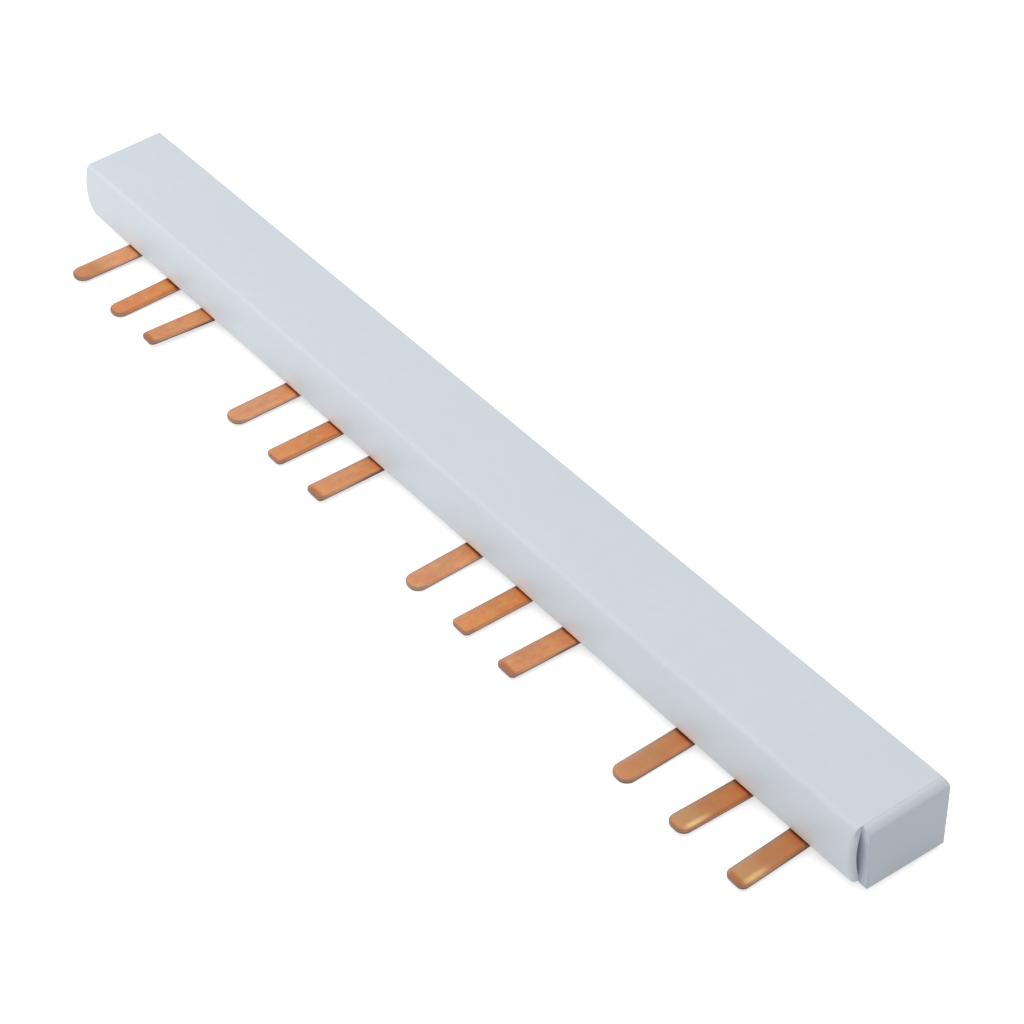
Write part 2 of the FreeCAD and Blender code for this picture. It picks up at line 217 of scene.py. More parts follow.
class BusbarColours(bpy.types.PropertyGroup):
    """Colours of the finishes."""

    plastic: colour("Plastic", (0.652, 0.711, 0.766), "Extruded housing")
    speck: colour("Specks", (0.22, 0.24, 0.27), "Specks on the housing's top")
    # Painted reflection of the copper pins on the foot of the bowed wall
    foot_painted_reflection: colour("Foot glow", (0.85, 0.80, 0.79), "Foot of the bowed wall over a pin")
    burr: colour("Burr", (0.44, 0.45, 0.51), "Edge of the sawn end")
    # Colour of the paler sawn end face and of the painted light on the bowed wall's right end
    cut: colour("Cut ends", (0.75, 0.815, 0.87), "Cut ends of the housing")
    cap: colour("Cap", (0.597, 0.653, 0.720), "Moulded cap")
    # Painted shade on the cap's front beside the housing
    cap_painted_shade: colour("Cap's shade", (0.33, 0.40, 0.49), "Cap's front beside the housing")
    copper: colour("Copper", (0.84, 0.335, 0.125), "Face of the second comb")
    pink: colour("Pink copper", (0.84, 0.42, 0.235), "Face of the first comb")
    copper_dull: colour("Dull copper", (0.57, 0.24, 0.105), "Copper where it has dulled")
    grain: colour("Light grain", (0.84, 0.52, 0.34), "Fine light spots")
    gold: colour("Gold spots", (0.80, 0.48, 0.17), "Spots that have turned golden")
    red: colour("Red spots", (0.78, 0.25, 0.14), "Spots that have turned red")
    brassy: colour("Brassy tint", (0.60, 0.33, 0.155), "Gold tint of the last tips")
    deep: colour("Deep orange", (0.45, 0.16, 0.055), "Edge of the flat face")
    # Painted reflection on the rolled edges at the left
    pale: colour("Pale edge", (0.48, 0.40, 0.36), "Rolled edges at the left")
    rim: colour("Rim", (0.26, 0.15, 0.125), "Outer part of the rolled edges")
    # Sheared sides: dull rough metal, and painted shade where they face away
    sheared: colour("Sheared side", (0.27, 0.172, 0.12), "Dull sheared sides")
    # Painted shade on the right sides of the pins
    side_shade: colour("Side shade", (0.075, 0.045, 0.035), "Right sides where they are darkest")
    # Painted highlight along the right edges of the last two tips
    painted_highlight: colour("Streak", (0.99, 0.65, 0.32), "Bright streak on the last two pins")
    # Painted shade on the lower edges of the pins
    under: colour("Lower edge", (0.12, 0.07, 0.05), "Lower edges of the pins")
    # Painted shadow of the lip on the pins just under it
    slot: colour("Slot", (0.15, 0.05, 0.03), "Pins under the lip")


class BusbarLight(bpy.types.PropertyGroup):
    """Level of the lamps and of the room's light."""

    room: FloatProperty(name="Room", description="Even light from all sides", default=0.378, min=0)
    front: power("Front lamp", 1.41, "Soft lamp low in front")
    left: power("Left lamp", 2.19, "Soft lamp low at the left")
    top: power("Top lamp", 7.76, "Large soft lamp overhead")


# Shapes


def arc(centre, radius, start, stop, steps=7):
    """Points of a circle: centre plus radius times the cosine and sine of even angles, in degrees."""
    angle = np.radians(np.linspace(start, stop, steps))
    return np.stack([centre[0] + radius * np.cos(angle), centre[1] + radius * np.sin(angle)], 1)


def rounded_path(corners, steps=7):
    """Open path through corners (a, b, radius).

    Each corner becomes the arc that touches both its sides: the centre lies on the bisector at
    radius / sin(half angle), and the arc sweeps from one foot of the centre to the other.
    """
    corners = np.asarray(corners, float)
    pieces = [corners[:1, :2]]
    for before, here, after in zip(corners[:-2], corners[1:-1], corners[2:]):
        into = (before - here)[:2] / np.hypot(*(before - here)[:2])
        out = (after - here)[:2] / np.hypot(*(after - here)[:2])
        half = math.acos(np.clip(into @ out, -1, 1)) / 2
        bisector = (into + out) / np.hypot(*(into + out))
        centre = here[:2] + bisector * here[2] / math.sin(half)
        first = here[:2] + into * here[2] / math.tan(half) - centre
        last = here[:2] + out * here[2] / math.tan(half) - centre
        share = np.linspace(0, 1, steps)[:, None]
        turn = math.pi - 2 * half
        blend = (first * np.sin((1 - share) * turn) + last * np.sin(share * turn)) / math.sin(turn)
        pieces.append(centre + blend)
    pieces.append(corners[-1:, :2])
    return np.concatenate(pieces)


def bow(sizes):
    """Middle and radius of the front wall's arc through its upper and lower corners."""
    top = top_of(sizes)
    half = (top - sizes.lip) / 2
    radius = (half * half + sizes.bulge ** 2) / (2 * sizes.bulge)
    return np.array([-sizes.depth / 2 - sizes.bulge + radius, (top + sizes.lip) / 2]), radius


def beside_bow(middle, distance, z):
    """Point at a height and at a distance from the bow's middle, on its front side."""
    return np.array([middle[0] - math.sqrt(distance ** 2 - (z - middle[1]) ** 2), z])


def angle_of(middle, point):
    """Angle of a point round the middle, from 90 to 270 degrees."""
    return math.degrees(math.atan2(point[1] - middle[1], point[0] - middle[0])) % 360


def top_of(sizes):
    """Height of the housing."""
    return sizes.floor_wall + CHAMBERS * sizes.chamber + (CHAMBERS - 1) * sizes.rib + sizes.top_wall


def floor_of(sizes, chamber):
    """Height of a chamber's floor, the lowest chamber being 0."""
    return sizes.floor_wall + chamber * (sizes.chamber + sizes.rib)


def strip_back_of(sizes):
    """Y of the strips' back edges."""
    return sizes.depth / 2 - sizes.back_wall - sizes.strip_side


def rib_front_of(sizes):
    """Y of the ribs' front edges."""
    return strip_back_of(sizes) - sizes.strip - sizes.rib_lead


def leg_of(sizes):
    """Y of the middle of the teeth's upright legs."""
    return rib_front_of(sizes) - sizes.leg_gap - sizes.sheet / 2


def body_left(sizes):
    """X of the housing's left end, the right end being as far on the other side."""
    poles = (GROUPS - 1) * GROUP_POLES + len(COMBS) - 1
    return -(sizes.left_over + poles * sizes.pole + sizes.right_over) / 2


def housing_section(sizes):
    """Closed section of the housing in Y and Z, anticlockwise as seen from the capped end.

    Straight walls run through rounded corners. The front wall is two arcs about one middle, joined
    to the top and to the lip by small arcs whose centres lie one radius inside both.
    """
    top = top_of(sizes)
    under_top = top - sizes.top_wall
    back = sizes.depth / 2
    inside = back - sizes.back_wall
    rib_front = rib_front_of(sizes)
    middle, outer = bow(sizes)
    inner = outer - sizes.front_wall
    small = sizes.small_edge

    shoulder = beside_bow(middle, outer - sizes.edge, top - sizes.edge)
    toe = beside_bow(middle, outer - small, sizes.lip + small)
    heel = beside_bow(middle, inner + small, sizes.lip + small)
    nook = beside_bow(middle, inner - small, under_top - small)

    walls = [(nook[0], under_top, 0), (inside, under_top, small)]
    for rib in range(CHAMBERS - 1, 0, -1):
        above = floor_of(sizes, rib)
        below = above - sizes.rib
        walls += [(inside, above, small), (rib_front, above, small)]
        walls += [(rib_front, below, small), (inside, below, small)]
    walls += [(inside, sizes.floor_wall, small), (rib_front, sizes.floor_wall, small), (rib_front, 0, small)]
    walls += [(back, 0, sizes.back_edge), (back, top, sizes.back_edge), (shoulder[0], top, 0)]

    return np.concatenate([
        rounded_path(walls),
        arc(shoulder, sizes.edge, 90, angle_of(middle, shoulder), 14)[1:],
        arc(middle, outer, angle_of(middle, shoulder), angle_of(middle, toe), 40)[1:-1],
        arc(toe, small, angle_of(middle, toe), 270, 9),
        arc(heel, small, 270, angle_of(middle, heel) + 180, 9),
        arc(middle, inner, angle_of(middle, heel), angle_of(middle, nook), 30)[1:-1],
        arc(nook, small, angle_of(middle, nook), 90, 7)[:-1],
    ])


def ring_faces(rows, columns):
    """Quads between neighbouring rings of points, each ring closed on itself."""
    start = np.arange(rows - 1)[:, None] * columns
    here = np.arange(columns)[None, :]
    beside = (here + 1) % columns
    corners = (start + here, start + beside, start + columns + beside, start + columns + here)
    return np.stack(corners, -1).reshape(-1, 4).tolist()


def carried(rings):
    """Skin over closed rings of points, rows by columns by three, shut at both ends by flat faces."""
    rings = np.asarray(rings)
    rows, columns = rings.shape[:2]
    faces = ring_faces(rows, columns)
    faces.append(list(range(columns))[::-1])
    faces.append(list(range((rows - 1) * columns, rows * columns)))
    return rings.reshape(-1, 3), faces, np.zeros((rows * columns, 2))


def outward(points, faces):
    """The same faces, turned over if the volume that they enclose comes out negative."""
    total = 0.0
    for count in sorted({len(face) for face in faces}):
        loops = np.array([face for face in faces if len(face) == count])
        corner = points[loops]
        first = corner[:, 0]
        total += float(np.einsum("ij,ikj->", first, np.cross(corner[:, 1:-1], corner[:, 2:])))
    return faces if total > 0 else [face[::-1] for face in faces]


def joined(shells):
    """One list of points, one of faces and one of marks for several closed shells."""
    points, faces, marks, offset = [], [], [], 0
    for shell_points, shell_faces, shell_marks in shells:
        faces += [[corner + offset for corner in face] for face in outward(shell_points, shell_faces)]
        points.append(shell_points)
        marks.append(shell_marks)
        offset += len(shell_points)
    return np.concatenate(points), faces, np.concatenate(marks)


def piece(name, shells, finish, node, tint=0.0):
    """Mesh object of the shells, smooth but for its sharp edges, in place of a CAD node."""
    points, faces, marks = joined(shells)
    mesh = bpy.data.meshes.new(name)
    mesh.from_pydata(points.tolist(), [], faces)
    layers = {"edge": marks[:, 0], "across": marks[:, 1], "tint": np.full(len(points), tint)}
    for layer, values in layers.items():
        mesh.attributes.new(layer, "FLOAT", "POINT").data.foreach_set("value", values.astype(np.float32))
    mesh.shade_smooth()
    mesh.set_sharp_from_angle(angle=SHARP_ANGLE)
    mesh.materials.append(finish)
    mesh.validate()
    thing = bpy.data.objects.new(name, mesh)
    bpy.context.scene.collection.objects.link(thing)
    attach(thing, "root")
    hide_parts(node)


def housing_shell(sizes):
    """The section carried along X.

    The left end's X falls back with Y by the tangent of the saw's lean. At the right end the outer
    face of the bowed wall is drawn in round a quarter circle, less and less towards the top.
    """
    section = housing_section(sizes)
    y, z = section.T
    right = -body_left(sizes)
    sawn = body_left(sizes) - (y + sizes.depth / 2) * math.tan(sizes.saw_lean)
    share = np.linspace(0, 1, 25)[:, None]
    turn = np.radians(np.linspace(0, 90, 6))[1:, None]
    edge_x = right - sizes.end_edge * (1 - np.sin(turn))
    x = np.concatenate([
        sawn * (1 - share) + (right - sizes.end_edge) * share,
        np.broadcast_to(edge_x, (len(turn), len(y))),
    ])

    middle, outer = bow(sizes)
    away = section - middle
    distance = np.hypot(*away.T)
    outside = np.clip((distance - outer + sizes.front_wall / 2) / (sizes.front_wall / 2), 0, 1) * (y < 0)
    fade = np.clip((top_of(sizes) - sizes.edge - z) / END_FADE, 0, 1)
    inset = np.concatenate([np.zeros_like(share), sizes.end_edge * (1 - np.cos(turn))]) * outside * fade
    y = y - inset * away[:, 0] / distance
    z = z - inset * away[:, 1] / distance
    return carried(np.stack([x, y, z], -1))


def bar_shell(low, high, radius):
    """Box with rounded long edges: a rounded rectangle in Y and Z carried along X."""
    corners = [(low[1], low[2]), (high[1], low[2]), (high[1], high[2]), (low[1], high[2])]
    centre = (np.array(corners[0]) + np.array(corners[2])) / 2
    ring = []
    for index, corner in enumerate(corners):
        inward = np.sign(centre - corner) * radius
        ring.append(arc(np.array(corner) + inward, radius, 180 + 90 * index, 270 + 90 * index, 4))
    ring = np.concatenate(ring)
    return carried([np.column_stack([np.full(len(ring), x), ring]) for x in (low[0], high[0])])


def tooth_line(sizes, strip_z, lift):
    """Middle line of a bent tooth in Y and Z, from inside its strip to the pin's end.

    It leaves the strip level, turns down by a quarter in front of the ribs, and turns forward at
    the pins' height. Where there is no room for two such turns, it slants down by 45 degrees. The
    pin is turned about its foot by the angle whose tangent is the lift over the run.
    """
    strip_front = strip_back_of(sizes) - sizes.strip
    leg_radius = sizes.bend + sizes.sheet / 2
    pin_z = sizes.lip - sizes.slot_gap - sizes.sheet / 2
    if strip_z - pin_z > 2 * leg_radius:
        upper = foot = leg_of(sizes)
    else:
        upper = rib_front_of(sizes) - sizes.joggle_gap
        foot = upper - (strip_z - pin_z)
    run = foot + sizes.depth / 2 + sizes.reach
    slope = math.atan2(lift, run)
    line = rounded_path([
        (strip_front + sizes.root, strip_z, 0),
        (upper, strip_z, leg_radius),
        (foot, pin_z, leg_radius),
        (foot - run * math.cos(slope), pin_z + run * math.sin(slope), 0),
    ], 9)
    step = np.hypot(*np.diff(line, axis=0).T)
    return line[np.r_[True, step > TINY]]


def tooth_shell(sizes, middle, width, strip_z, pin):
    """One tooth from inside its strip to its tip.

    The blade's outline is given by its half width at each distance s along the sheet: a flare at
    the root, straight sides, and at the tip an arc. For a point of the edge that is inset by d,
    the arc's radius is less by d. The edge's section is a quarter ellipse above, as far in as the
    pin's roll, a sheared side, and a small quarter ellipse below. Then s runs along the bent
    middle line, the height goes along its normal, and the side moves along X with the tip's swing.
    The edge mark runs from 0.1 to 1 over the upper edge and from 1.3 to 2 over the lower one.
    """
    line = tooth_line(sizes, strip_z, pin.lift)
    along = np.r_[0, np.cumsum(np.hypot(*np.diff(line, axis=0).T))]
    whole = along[-1]
    tip_radius = pin.tip * width

    upper_turn = np.radians(np.linspace(0, 90, 10))
    lower_turn = np.radians(np.linspace(90, 0, 5))
    drop = min(ROLL_DROP * pin.roll, ROLL_DROP_MOST * sizes.sheet)
    inset = np.r_[pin.roll * (1 - np.sin(upper_turn)), sizes.burr * (1 - np.sin(lower_turn))]
    height = np.r_[
        sizes.sheet / 2 - drop * (1 - np.cos(upper_turn)),
        -sizes.sheet / 2 + BURR_HEIGHT * sizes.burr * (1 - np.cos(lower_turn)),
    ]
    mark = np.r_[np.linspace(0.1, 1, len(upper_turn)), np.linspace(1.3, 2, len(lower_turn))]

    flare = sizes.root + sizes.root * np.linspace(0, 1, 5)
    blade = np.linspace(along[-2], whole - tip_radius, 14)
    straight = np.unique(np.r_[TOOTH_START, flare, along[1:-1], blade])
    straight = straight[straight < whole - tip_radius + TINY]
    widening = np.clip(1 - (straight - sizes.root) / sizes.root, 0, 1)
    half = width / 2 + sizes.root * (1 - np.sqrt(1 - widening ** 2))
    turn = np.radians(np.linspace(0, 90, 19))[1:, None]
    side = np.concatenate([
        half[:, None] - inset,
        width / 2 - tip_radius + (tip_radius - inset) * np.cos(turn),
    ])
    s = np.concatenate([
        np.broadcast_to(straight[:, None], (len(straight), len(inset))),
        whole - tip_radius + (tip_radius - inset) * np.sin(turn),
    ])

    side = np.concatenate([side, -side[:, ::-1]], 1)
    s = np.concatenate([s, s[:, ::-1]], 1)
    height = np.r_[height, height[::-1]]
    mark = np.r_[mark, mark[::-1]]
    tangent = np.gradient(line, along, axis=0)
    tangent /= np.hypot(*tangent.T)[:, None]
    # The sheet's upper side is the middle line's tangent turned by a quarter
    y = np.interp(s, along, line[:, 0]) + np.interp(s, along, tangent[:, 1]) * height
    z = np.interp(s, along, line[:, 1]) - np.interp(s, along, tangent[:, 0]) * height
    leg_front = leg_of(sizes) - sizes.sheet / 2
    share = np.clip((leg_front - y) / (leg_front + sizes.depth / 2 + sizes.reach), 0, SWING_MOST)
    x = middle + side * (1 - pin.narrower / width * share) + pin.swing * share

    rows, columns = x.shape
    faces = ring_faces(rows, columns)
    faces.append(list(range(columns))[::-1])
    last = (rows - 1) * columns
    pair = np.arange(columns // 2 - 1)
    tip = (last + pair, last + pair + 1, last + columns - 2 - pair, last + columns - 1 - pair)
    faces += np.stack(tip, -1).tolist()
    marks = np.stack([np.broadcast_to(mark, (rows, columns)), side / (width / 2)], -1)
    return np.stack([x, y, z], -1).reshape(-1, 3), faces, marks.reshape(-1, 2)


def comb_shells(sizes, index):
    """The strip and its teeth, as closed shells that run into each other."""
    comb = COMBS[index]
    floor = floor_of(sizes, comb.chamber) + sizes.strip_rest
    left = body_left(sizes)
    back = strip_back_of(sizes)
    low = (left + sizes.strip_left, back - sizes.strip, floor)
    high = (-left - sizes.strip_right, back, floor + sizes.sheet)
    shells = [bar_shell(low, high, STRIP_EDGE)]
    for group in range(GROUPS):
        middle = left + sizes.left_over + (group * GROUP_POLES + index) * sizes.pole + comb.shift
        pin = PINS[group * len(COMBS) + index]
        shells.append(tooth_shell(sizes, middle, comb.width, floor + sizes.sheet / 2, pin))
    return shells


def cap_outline(sizes, inset, fall):
    """Closed outline of the cap's plate in Y and Z, inset evenly, its top lower by the fall.

    Straight edges run through rounded corners. Every outline has as many points as the next. Its
    two ends meet half way up the back.
    """
    top = top_of(sizes) - sizes.cap_in - fall - inset
    back = sizes.depth / 2 - CAP_BACK - inset
    middle, outer = bow(sizes)
    front = beside_bow(middle, outer - sizes.cap_front, sizes.lip)[0] + inset
    corner_share = CORNER_AT_SEAT + (1 - CORNER_AT_SEAT) * fall / sizes.cap_droop
    corner = max(sizes.cap_corner * corner_share - inset, CAP_CORNER_LEAST)
    small = max(sizes.cap_edge - inset, CAP_EDGE_LEAST)
    half_way = (top + sizes.cap_low_back) / 2
    lean = sizes.cap_lean
    return rounded_path([
        (back - lean / 2, half_way, 0),
        (back, top, small),
        (front, top, corner),
        (front, sizes.cap_low_front + inset, small),
        (back - lean, sizes.cap_low_back + inset, small),
        (back - lean / 2, half_way - OPENING, 0),
    ], 9)


def plug_stations(foot, mouth, floor):
    """Inset and X of a hollow plug's rings: its foot, its chamfered mouth, and its floor inside."""
    return (
        (0, foot), (0, mouth + PLUG_CHAMFER), (PLUG_CHAMFER, mouth), (PLUG_WALL, mouth), (PLUG_WALL, floor),
    )


def chamber_plug(sizes, chamber, inset, x):
    """Ring at x of a plug in a chamber: a rectangle in Y and Z, less the inset."""
    near = rib_front_of(sizes) + sizes.plug_gap + inset
    far = sizes.depth / 2 - sizes.back_wall - sizes.small_edge - sizes.plug_gap - inset
    floor = floor_of(sizes, chamber) + sizes.plug_gap
    low = floor + inset
    high = floor + sizes.chamber - 2 * sizes.plug_gap - inset
    return [(x, near, low), (x, far, low), (x, far, high), (x, near, high)]


def front_plug(sizes, inset, x):
    """Ring at x of the space between the bowed wall and the ribs, from the lip up, less the inset."""
    middle, outer = bow(sizes)
    radius = outer - sizes.front_wall - sizes.plug_gap - inset
    low = sizes.lip + inset
    high = top_of(sizes) - sizes.top_wall - sizes.small_edge - sizes.plug_gap - inset
    back = rib_front_of(sizes) - sizes.plug_gap - inset
    turns = [angle_of(middle, beside_bow(middle, radius, z)) for z in (high, low)]
    ring = np.concatenate([[(back, low), (back, high)], arc(middle, radius, *turns, 24)])
    return np.column_stack([np.full(len(ring), x), ring])


def cap_shells(sizes):
    """The plate, a hollow plug for each chamber, and a hollow front plug with the block that joins it.

    The plate's outline is carried along X from the seat to the outer face. Its top is level at
    first, then falls with the square of the way, and the outer edge is inset round a quarter
    circle. The front plug ends behind the housing's end, and the block runs on to the plate.
    """
    seat = -body_left(sizes) + sizes.cap_seat
    thick = cap_high.x - seat
    quarter = np.radians(np.linspace(0, 90, 9))
    level = np.linspace(0, thick - sizes.cap_edge, 13)[:-1]
    reach = np.r_[level, thick - sizes.cap_edge * (1 - np.sin(quarter))]
    insets = np.r_[np.zeros(len(level)), sizes.cap_edge * (1 - np.cos(quarter))]
    falls = sizes.cap_droop * np.clip((reach - sizes.cap_level) / (thick - sizes.cap_level), 0, 1) ** 2
    rings = []
    for along, inset, fall in zip(reach, insets, falls):
        outline = cap_outline(sizes, inset, fall)
        rings.append(np.column_stack([np.full(len(outline), seat + along), outline]))
    shells = [carried(rings)]

    mouth = -body_left(sizes) - sizes.plug
    stations = plug_stations(seat + OVERLAP, mouth, seat - PLUG_FLOOR)
    for chamber in range(CHAMBERS):
        shells.append(carried([chamber_plug(sizes, chamber, inset, x) for inset, x in stations]))

    shelf = -body_left(sizes) - sizes.plug_shelf
    stations = plug_stations(shelf, mouth, shelf - SHELF)
    shells.append(carried([front_plug(sizes, inset, x) for inset, x in stations]))

    behind = front_plug(sizes, 0, shelf - OVERLAP)
    front = cap_outline(sizes, 0, 0)[:, 0].min() + SHELF_SET_IN
    behind[:, 1] = np.maximum(behind[:, 1], front)
    ahead = behind.copy()
    ahead[:, 0] = seat + OVERLAP
    shells.append(carried([behind, ahead]))
    return shells


# Finishes


class Link:
    """A shader socket that takes part in sums, differences, products and quotients."""

    def __init__(self, finish, socket):
        self.finish = finish
        self.socket = socket

    def __add__(self, other):
        return self.finish.maths("ADD", self, other)

    def __sub__(self, other):
        return self.finish.maths("SUBTRACT", self, other)

    def __rsub__(self, other):
        return self.finish.maths("SUBTRACT", other, self)

    def __mul__(self, other):
        return self.finish.maths("MULTIPLY", self, other)

    def __truediv__(self, other):
        return self.finish.maths("DIVIDE", self, other)

    def __rtruediv__(self, other):
        return self.finish.maths("DIVIDE", other, self)

    def __abs__(self):
        return self.finish.maths("ABSOLUTE", self)

    __radd__ = __add__
    __rmul__ = __mul__


class Finish:
    """A node tree under construction, of a material or of the world."""

    def __init__(self, owner):
        owner.use_nodes = True
        self.owner = owner
        self.tree = owner.node_tree
        self.tree.nodes.clear()

    def node(self, kind, settings=None, inputs=None, output=0):
        """Adds a node, sets its settings first and then its inputs, and returns one of its outputs.

        A node without outputs gives None.
        """
        made = self.tree.nodes.new(kind)
        for name, value in (settings or {}).items():
            setattr(made, name, value)
        for name, value in (inputs or {}).items():
            socket = made.inputs[name]
            if isinstance(value, Link):
                self.tree.links.new(value.socket, socket)
            elif socket.type == "RGBA":
                socket.default_value = (*value, 1)
            else:
                socket.default_value = value
        return Link(self, made.outputs[output]) if len(made.outputs) else None

    def several(self, link, names):
        """The named outputs of the node that the link comes from."""
        outputs = link.socket.node.outputs
        return [Link(self, outputs[name]) for name in names]

    def maths(self, operation, first, second=0.0):
        return self.node("ShaderNodeMath", {"operation": operation}, {0: first, 1: second})

    def place(self):
        return self.node("ShaderNodeTexCoord", output="Object")

    def axes(self):
        """X, Y and Z of the point, in metres."""
        return self.several(self.node("ShaderNodeSeparateXYZ", inputs={0: self.place()}), range(3))

    def mark(self, name):
        """A value that the mesh carries at its points."""
        return self.node("ShaderNodeAttribute", {"attribute_name": name}, output="Fac")

    def noise(self, scale, detail, roughness=0.5):
        """Soft noise in object coordinates, scaled on each axis."""
        vector = self.node(
            "ShaderNodeMapping", {"vector_type": "POINT"}, {"Vector": self.place(), "Scale": scale})
        inputs = {"Vector": vector, "Scale": 1.0, "Detail": detail, "Roughness": roughness}
        return self.node("ShaderNodeTexNoise", inputs=inputs)

    def rise(self, value, low, high):
        """Smooth step from 0 at low to 1 at high."""
        inputs = {"Value": value, "From Min": low, "From Max": high}
        return self.node("ShaderNodeMapRange", {"interpolation_type": "SMOOTHSTEP"}, inputs)

    def fall(self, value, low, high):
        """Smooth step from 1 at low to 0 at high."""
        return 1 - self.rise(value, low, high)

    def mixed(self, factor, first, second, blend="MIX"):
        settings = {"data_type": "RGBA", "blend_type": blend}
        return self.node("ShaderNodeMix", settings, {0: factor, 6: first, 7: second}, 2)

    def layered(self, tone, layers):
        """The tone under layers, each a mask, an amount and a colour."""
        for mask, amount, over in layers:
            tone = self.mixed(mask * amount, tone, over)
        return tone

    def bump(self, height, distance, strength):
        inputs = {"Height": height, "Distance": distance, "Strength": strength}
        return self.node("ShaderNodeBump", inputs=inputs)

    def seen(self):
        """1 for rays from the camera, a mirror or a clear body, and 0 for the light on other things."""
        names = ("Is Camera Ray", "Is Glossy Ray", "Is Transmission Ray")
        camera, glossy, clear = self.several(self.node("ShaderNodeLightPath"), names)
        return self.maths("MAXIMUM", camera, self.maths("MAXIMUM", glossy, clear))

    def surface(self, **inputs):
        """Principled shader on the output; spaces in socket names are written as _."""
        named = {name.replace("_", " "): value for name, value in inputs.items()}
        self.output(self.node("ShaderNodeBsdfPrincipled", inputs=named))

    def output(self, shader):
        """The shader on the output of the material or of the world."""
        is_world = isinstance(self.owner, bpy.types.World)
        kind = "ShaderNodeOutputWorld" if is_world else "ShaderNodeOutputMaterial"
        self.node(kind, inputs={"Surface": shader})


def times(tone, factor):
    """A colour times a factor, at most 1."""
    return tuple(min(part * factor, 1) for part in tone)


def extruded_plastic(colours, sizes):
    """Satin extruded plastic.

    The tone is faintly cloudy, with drawn lines along the length and a few faint specks on top.
    Over each pin the foot of the bowed wall is painted lighter and warmer, a painted reflection of
    the copper, less so at the last pin. The sawn end face is paler, the bowed wall's right end is
    painted lighter as painted light, and the sawn end has a dark burr.
    """
    finish = Finish(bpy.data.materials.new("extruded_plastic"))
    x, y, z = finish.axes()
    left = body_left(sizes)
    behind = y + sizes.depth / 2
    from_saw = x + behind * math.tan(sizes.saw_lean) - left
    cloud = finish.noise((45, 90, 90), 3)
    mottle = finish.noise((260, 420, 420), 2)
    drawn = finish.noise((12, 2600, 2600), 2)
    grain = finish.noise((5200, 5200, 5200), 1)

    cell = 190
    cells = {"Vector": finish.place(), "Scale": cell, "Randomness": 1.0}
    from_cell = finish.node("ShaderNodeTexVoronoi", {"feature": "F1"}, cells, "Distance")
    chosen = finish.rise(finish.noise((cell, cell, cell), 0), 0.60, 0.66)
    speck = finish.fall(from_cell, 0.035, 0.085) * chosen * finish.rise(z, 0.0155, 0.0163)

    # The painted reflection sits a little right of its pin and leans to the right with its height
    shift, lean = 0.0012, 0.35
    poles = (x - z * lean - left - sizes.left_over - shift) / sizes.pole
    beside = abs(finish.maths("FRACT", poles + 0.5) - 0.5)
    in_group = finish.fall(finish.maths("FRACT", (poles + 0.5) / GROUP_POLES), 0.745, 0.755)
    on_front = finish.fall(behind, 0.0003, 0.0013)
    painted_reflection = finish.fall(beside, 0.03, 0.30) * in_group * finish.fall(z, 0.0022, 0.0098) * on_front
    painted_reflection = painted_reflection * (1 - finish.rise(x, 0.116, 0.128) * 0.6)

    # Painted light on the right end of the bowed wall; the sawn end face is paler
    painted_end_light = finish.rise(x + left, -0.0007, -0.0001) * on_front * finish.fall(z, 0.0135, 0.0155)
    cut = painted_end_light + finish.fall(from_saw, 0.00001, 0.00005)
    tone = finish.layered(finish.mixed(cloud, times(colours.plastic, 0.972), times(colours.plastic, 1.028)), (
        (finish.rise(mottle, 0.35, 0.75), 0.45, times(colours.plastic, 0.965)),
        (speck, 0.10, colours.speck),
        (painted_reflection, 0.75, colours.foot_painted_reflection),
        (finish.fall(from_saw, 0.0001, 0.0004), 0.40, colours.burr),
        (cut, 1.0, colours.cut),
    ))
    finish.surface(
        Base_Color=tone,
        Roughness=0.40 + cloud * 0.12,
        IOR=1.48,
        Specular_IOR_Level=0.42,
        Normal=finish.bump(drawn * 0.5 + grain * 0.5, 0.00003, 0.35),
    )
    return finish.owner


def moulded_plastic(colours, sizes):
    """Moulded plastic: even tone, fine spark-eroded grain, painted shade on its front beside the housing."""
    finish = Finish(bpy.data.materials.new("moulded_plastic"))
    x, y, z = finish.axes()
    cloud = finish.noise((120, 120, 120), 3)
    grain = finish.noise((3600, 3600, 3600), 2)
    tone = finish.mixed(cloud, times(colours.cap, 0.97), times(colours.cap, 1.03))
    # Painted shade on the cap's front next to the seam, fading out towards the top
    near_seat = finish.fall(x + body_left(sizes), 0.0009, 0.0033)
    on_front = finish.fall(y + sizes.depth / 2, 0.0014, 0.0018)
    shade = near_seat * on_front * finish.fall(z, 0.0125, 0.0150)
    finish.surface(
        Base_Color=finish.layered(tone, ((shade, 0.42, colours.cap_painted_shade),)),
        Roughness=0.44 + cloud * 0.08,
        IOR=1.48,
        Specular_IOR_Level=0.4,
        Normal=finish.bump(grain, 0.00003, 0.4),
    )
    return finish.owner


